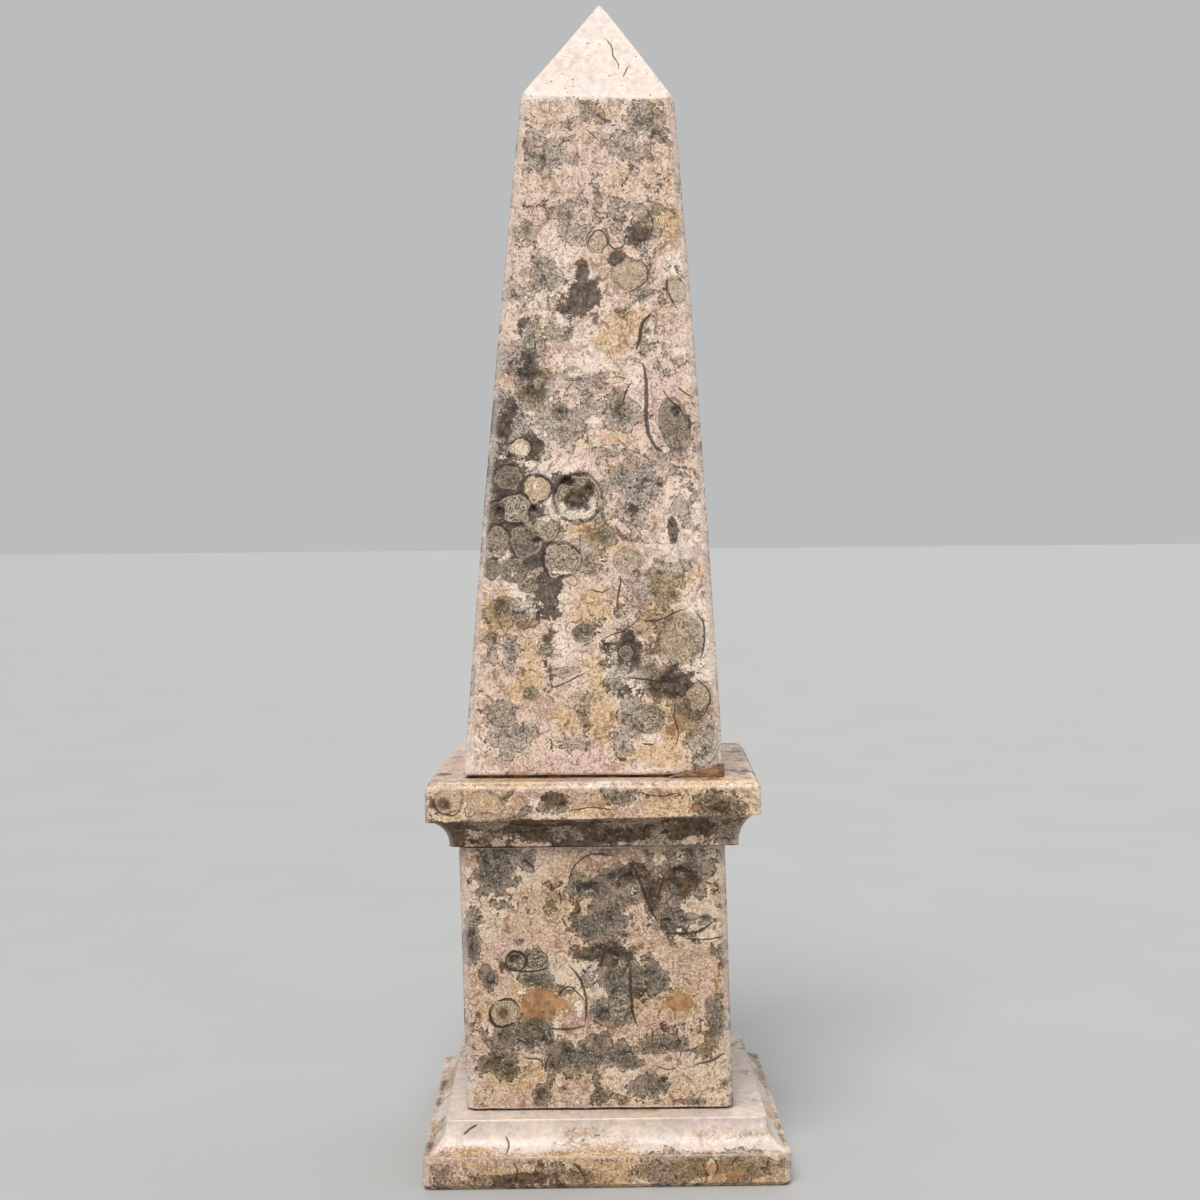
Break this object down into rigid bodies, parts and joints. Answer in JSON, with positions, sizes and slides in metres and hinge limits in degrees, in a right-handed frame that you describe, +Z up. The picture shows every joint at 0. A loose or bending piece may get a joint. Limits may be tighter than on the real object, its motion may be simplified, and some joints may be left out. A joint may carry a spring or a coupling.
{
  "type": "obelisk ornament",
  "caption": "Small polished stone obelisk for a desk or shelf: tapering four-sided shaft with a pyramid point, on a moulded pedestal",
  "frame": {"origin": "centre of the underside of the base plinth", "axes": "+Z up along the obelisk; the front face, with the filled corner at its lower right, looks along -Y; +X is to the right seen from the front"},
  "size_m": [0.0608, 0.0608, 0.2],
  "materials": {
    "limestone": "polished fossil limestone, pinkish beige with grey speckled patches",
    "adhesive": "set adhesive, dark brown",
    "resin": "amber brown filling resin"
  },
  "bodies": {
    "root": {"base_plinth": "limestone", "base_joint": "adhesive", "die": "limestone", "cap_joint": "adhesive", "cap": "limestone", "shaft_joint": "adhesive", "shaft": "limestone", "corner_fill": "resin"}
  },
  "joints": []
}
